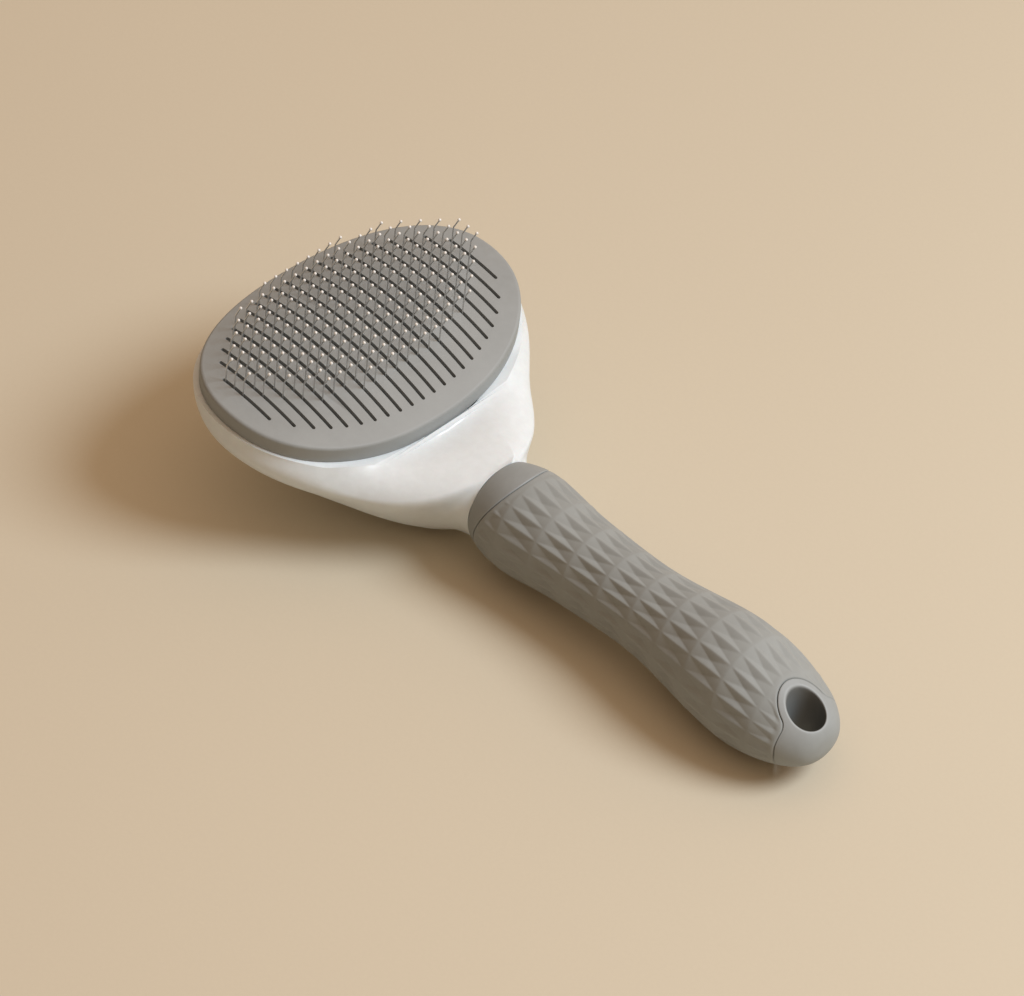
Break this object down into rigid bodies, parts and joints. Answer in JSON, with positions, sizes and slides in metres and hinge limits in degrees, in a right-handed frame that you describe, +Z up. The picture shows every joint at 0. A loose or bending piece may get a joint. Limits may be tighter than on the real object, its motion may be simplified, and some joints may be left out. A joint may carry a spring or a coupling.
{
  "type": "slicker brush",
  "caption": "Self-cleaning slicker brush for pets: bent wire pins with ball tips, a slotted plate that a thumb button pushes up, a soft grip and a hanging hole.",
  "frame": {"origin": "on the table, under the middle of the brush's bounding box", "axes": "+X from the head to the handle's tip, +Y across the head, +Z up out of the pin side; the brush lies on its back with the pins up"},
  "size_m": [0.1992, 0.0957, 0.053],
  "materials": {
    "cleaning_plate": "fine matte moulded grey plastic",
    "push_yoke": "matte moulded plastic",
    "push_button": "matte moulded grey plastic",
    "yoke_screws": "zinc-plated steel",
    "return_spring": "drawn spring steel",
    "pin_carrier": "matte dark plastic",
    "pin_backing_plate": "matte dark plastic",
    "carrier_screws": "zinc-plated steel",
    "pins": "bright drawn steel wire",
    "pin_tips": "glossy white coated balls",
    "head_shell": "satin to glossy white moulded plastic",
    "collar_ring": "smooth grey moulded plastic",
    "handle_core": "matte moulded plastic",
    "neck_screw": "zinc-plated steel",
    "grip_sleeve": "soft matte grey elastomer with moulded dents",
    "end_cap": "smooth grey moulded plastic"
  },
  "bodies": {
    "brush": {"return_spring": "return_spring", "pin_carrier": "pin_carrier", "pin_backing_plate": "pin_backing_plate", "carrier_screws": "carrier_screws", "pin_row_01": "pins", "pin_row_02": "pins", "pin_row_03": "pins", "pin_row_04": "pins", "pin_row_05": "pins", "pin_row_06": "pins", "pin_row_07": "pins", "pin_row_08": "pins", "pin_row_09": "pins", "pin_row_10": "pins", "pin_row_11": "pins", "pin_row_12": "pins", "pin_row_13": "pins", "pin_row_14": "pins", "pin_row_15": "pins", "pin_row_16": "pins", "pin_row_17": "pins", "pin_row_18": "pins", "pin_row_19": "pins", "pin_row_20": "pins", "pin_row_21": "pins", "pin_row_22": "pins", "pin_tips": "pin_tips", "head_shell": "head_shell", "collar_ring": "collar_ring", "handle_core": "handle_core", "neck_screw": "neck_screw", "grip_sleeve": "grip_sleeve", "end_cap": "end_cap"},
    "ejector": {"cleaning_plate": "cleaning_plate", "push_yoke": "push_yoke", "push_button": "push_button", "yoke_screws": "yoke_screws"}
  },
  "joints": [
    {"name": "button_push", "type": "slide", "parent": "brush", "child": "ejector", "axis": [0.1305, 0, 0.9914], "range_m": [0, 0.006], "stiffness_N_per_m": 400, "springref_m": -0.005, "deforming": ["return_spring"]}
  ]
}
